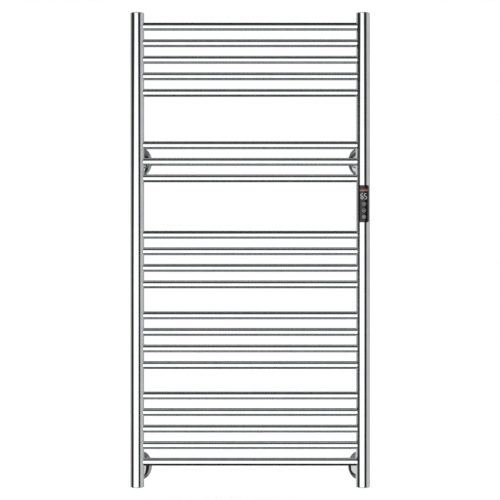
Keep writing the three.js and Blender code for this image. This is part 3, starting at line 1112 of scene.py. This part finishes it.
class Painter:
    """Short calls for building brightness out of maths nodes."""

    def __init__(self, owner):
        self.owner = owner
        owner.use_nodes = True
        self.tree = owner.node_tree
        self.tree.nodes.clear()

    def node(self, kind):
        return self.tree.nodes.new(kind)

    def math(self, operation, *values):
        node = self.node("ShaderNodeMath")
        node.operation = operation
        for socket, value in zip(node.inputs, values):
            if isinstance(value, (int, float)):
                socket.default_value = value
            else:
                self.tree.links.new(value, socket)
        return node.outputs[0]

    def step(self, value, edge, soft):
        """0 below the edge and 1 above it, with a soft change between."""
        remap = self.node("ShaderNodeMapRange")
        remap.interpolation_type = "SMOOTHSTEP"
        remap.inputs["From Min"].default_value = edge - soft / 2
        remap.inputs["From Max"].default_value = edge + soft / 2
        self.tree.links.new(value, remap.inputs["Value"])
        return remap.outputs["Result"]

    def below(self, value, edge, soft):
        return self.math("SUBTRACT", 1.0, self.step(value, edge, soft))

    def band(self, value, low, high, soft):
        return self.both(self.step(value, low, soft), self.below(value, high, soft))

    def both(self, one, other):
        return self.math("MULTIPLY", one, other)

    def paint(self, under, brightness, mask):
        """Covers what is under with a brightness where the mask is 1."""
        change = self.math("MULTIPLY", self.math("SUBTRACT", brightness, under), mask)
        return self.math("ADD", under, change)


class Sky(Painter):
    """The studio round the rack, painted by direction."""

    def __init__(self):
        super().__init__(bpy.data.worlds.new("studio"))
        bpy.context.scene.world = self.owner
        split = self.node("ShaderNodeSeparateXYZ")
        self.tree.links.new(self.node("ShaderNodeTexCoord").outputs["Generated"], split.inputs[0])
        x, y, z = split.outputs
        self.across = x
        self.azimuth = self.math("DEGREES", self.math("ARCTAN2", x, self.math("MULTIPLY", y, -1)))
        self.elevation = self.math("DEGREES", self.math("ARCSINE", z))


def make_sky():
    """Grey walls with dark flags, dark strips overhead and underfoot, and a light behind."""
    sky = Sky()
    az, el = sky.azimuth, sky.elevation
    behind = sky.step(sky.math("ABSOLUTE", az), BACK_START, BACK_SOFT)
    left = sky.step(sky.math("MULTIPLY", az, -1), 0, BACK_SOFT)
    back_light = sky.math("MAXIMUM", sky.both(behind, left), sky.step(az, BACK_LIGHT_START, BACK_SOFT))
    strip = sky.below(sky.math("ABSOLUTE", sky.across), STRIP_REACH, STRIP_SOFT)
    overhead = sky.step(el, CEILING_START, CEILING_SOFT)
    underfoot = sky.below(el, GROUND_START, GROUND_SOFT)
    level = sky.paint(SIDE_WALL, BACK_RIGHT_WALL, sky.band(az, *BACK_RIGHT))
    for flag in FLAGS:
        level = sky.paint(level, FLAG, sky.band(az, *flag))
    level = sky.paint(level, BACK_DARK, behind)
    level = sky.paint(level, BACK_LIGHT, sky.both(back_light, sky.band(el, *BACK_LIGHT_LEVEL)))
    level = sky.paint(level, CEILING, overhead)
    level = sky.paint(level, CEILING_STRIP, sky.both(overhead, strip))
    level = sky.paint(level, GROUND, underfoot)
    level = sky.paint(level, GROUND_STRIP, sky.both(underfoot, strip))
    level = sky.paint(level, GLOW, sky.both(sky.band(az, *GLOW_WIDTH), sky.band(el, *GLOW_LEVEL)))

    path = sky.node("ShaderNodeLightPath")
    level = sky.paint(level, DIFFUSE_LIGHT, path.outputs["Is Diffuse Ray"])
    level = sky.paint(level, 1.0, path.outputs["Is Camera Ray"])
    background = sky.node("ShaderNodeBackground")
    background.inputs["Color"].default_value = (1, 1, 1, 1)
    sky.tree.links.new(level, background.inputs["Strength"])
    output = sky.node("ShaderNodeOutputWorld")
    sky.tree.links.new(background.outputs[0], output.inputs[0])


def make_panel():
    """The big white panel in front that fills most of what the chrome shows. Only gloss sees it."""
    y = POST_Y - PANEL_DISTANCE
    left, right = PANEL_LEFT - PANEL_MARGIN, PANEL_RIGHT + PANEL_MARGIN
    bottom, top = PANEL_BOTTOM - PANEL_MARGIN, PANEL_TOP + PANEL_MARGIN
    corners = [(left, y, bottom), (right, y, bottom), (right, y, top), (left, y, top)]
    mesh = bpy.data.meshes.new("panel")
    mesh.from_pydata(corners, [], [(0, 1, 2, 3)])
    panel = bpy.data.objects.new("panel", mesh)
    bpy.context.scene.collection.objects.link(panel)
    panel.visible_camera = False
    panel.visible_diffuse = False
    panel.visible_shadow = False
    mesh.materials.append(panel_light())


def panel_light():
    """White inside the panel's edges and clear outside them. Its top falls away past two shoulders."""
    light = Painter(bpy.data.materials.new("panel_light"))
    split = light.node("ShaderNodeSeparateXYZ")
    light.tree.links.new(light.node("ShaderNodeTexCoord").outputs["Object"], split.inputs[0])
    x, _, z = split.outputs
    left = light.math("MINIMUM", light.math("SUBTRACT", x, LEFT_SHOULDER), 0)
    right = light.math("MAXIMUM", light.math("SUBTRACT", x, RIGHT_SHOULDER), 0)
    fall = light.math(
        "ADD",
        light.math("MULTIPLY", light.both(left, left), LEFT_FALL),
        light.math("MULTIPLY", light.both(right, right), RIGHT_FALL),
    )
    sides = light.band(x, PANEL_LEFT, PANEL_RIGHT, PANEL_SOFT)
    above = light.step(z, PANEL_BOTTOM, PANEL_SOFT)
    under = light.below(light.math("ADD", z, fall), PANEL_TOP, PANEL_TOP_SOFT)
    mask = light.both(sides, light.both(above, under))
    emission = light.node("ShaderNodeEmission")
    emission.inputs["Strength"].default_value = PANEL_LIGHT
    clear = light.node("ShaderNodeBsdfTransparent")
    mix = light.node("ShaderNodeMixShader")
    output = light.node("ShaderNodeOutputMaterial")
    for source, target in (
        (mask, mix.inputs[0]), (clear.outputs[0], mix.inputs[1]),
        (emission.outputs[0], mix.inputs[2]), (mix.outputs[0], output.inputs[0]),
    ):
        light.tree.links.new(source, target)
    return light.owner


def make_floor():
    """A plain pale floor below the hanging rack. The chrome sees the studio and not the floor."""
    z = CAD_BOX[0].z - FLOOR_DROP
    half = FLOOR_SIZE / 2
    mesh = bpy.data.meshes.new("floor")
    corners = [(-half, -half, z), (half, -half, z), (half, half, z), (-half, half, z)]
    mesh.from_pydata(corners, [], [(0, 1, 2, 3)])
    floor = bpy.data.objects.new("floor", mesh)
    bpy.context.scene.collection.objects.link(floor)
    finish = Finish("pale_floor", (0.92, 0.92, 0.92), 0.9)
    mesh.materials.append(finish.material)
    floor.visible_glossy = False


def make_camera():
    data = bpy.data.cameras.new("camera")
    data.sensor_width = SENSOR_WIDTH
    data.lens = SENSOR_WIDTH * CAMERA_DISTANCE / FIELD_WIDTH
    camera = bpy.data.objects.new("camera", data)
    camera.location = (0, POST_Y - CAMERA_DISTANCE, middle("post_left").z)
    camera.rotation_euler = (math.pi / 2, 0, 0)
    bpy.context.scene.collection.objects.link(camera)
    bpy.context.scene.camera = camera


# ---- Everything together ------------------------------------------------------------------------

make_camera()
make_sky()
make_panel()
make_floor()
bpy.context.scene.view_settings.view_transform = "Standard"

for side_name in SIDES:
    make_post(f"post_{side_name}")
    make_cap(f"cap_top_{side_name}")
make_cap("cap_bottom_left")
make_cap("cap_bottom_right", grommet_neck() + BORE_PLAY)
for bar in BARS:
    make_bar(bar)
for level_name in LEVELS:
    for side_name in SIDES:
        label = f"{level_name}_{side_name}"
        make_stem(label)
        make_wall_plate(label)
        make_grub_screw(label)
        make_rosette(label)
make_housing()
make_seal()
make_fascia()
make_window()
for key, key_body in KEYS.items():
    make_key(key, key_body)
    make_key_mark(key, key_body)
make_digits()
make_light_bar()
make_grommet()
finish_kept_nodes()
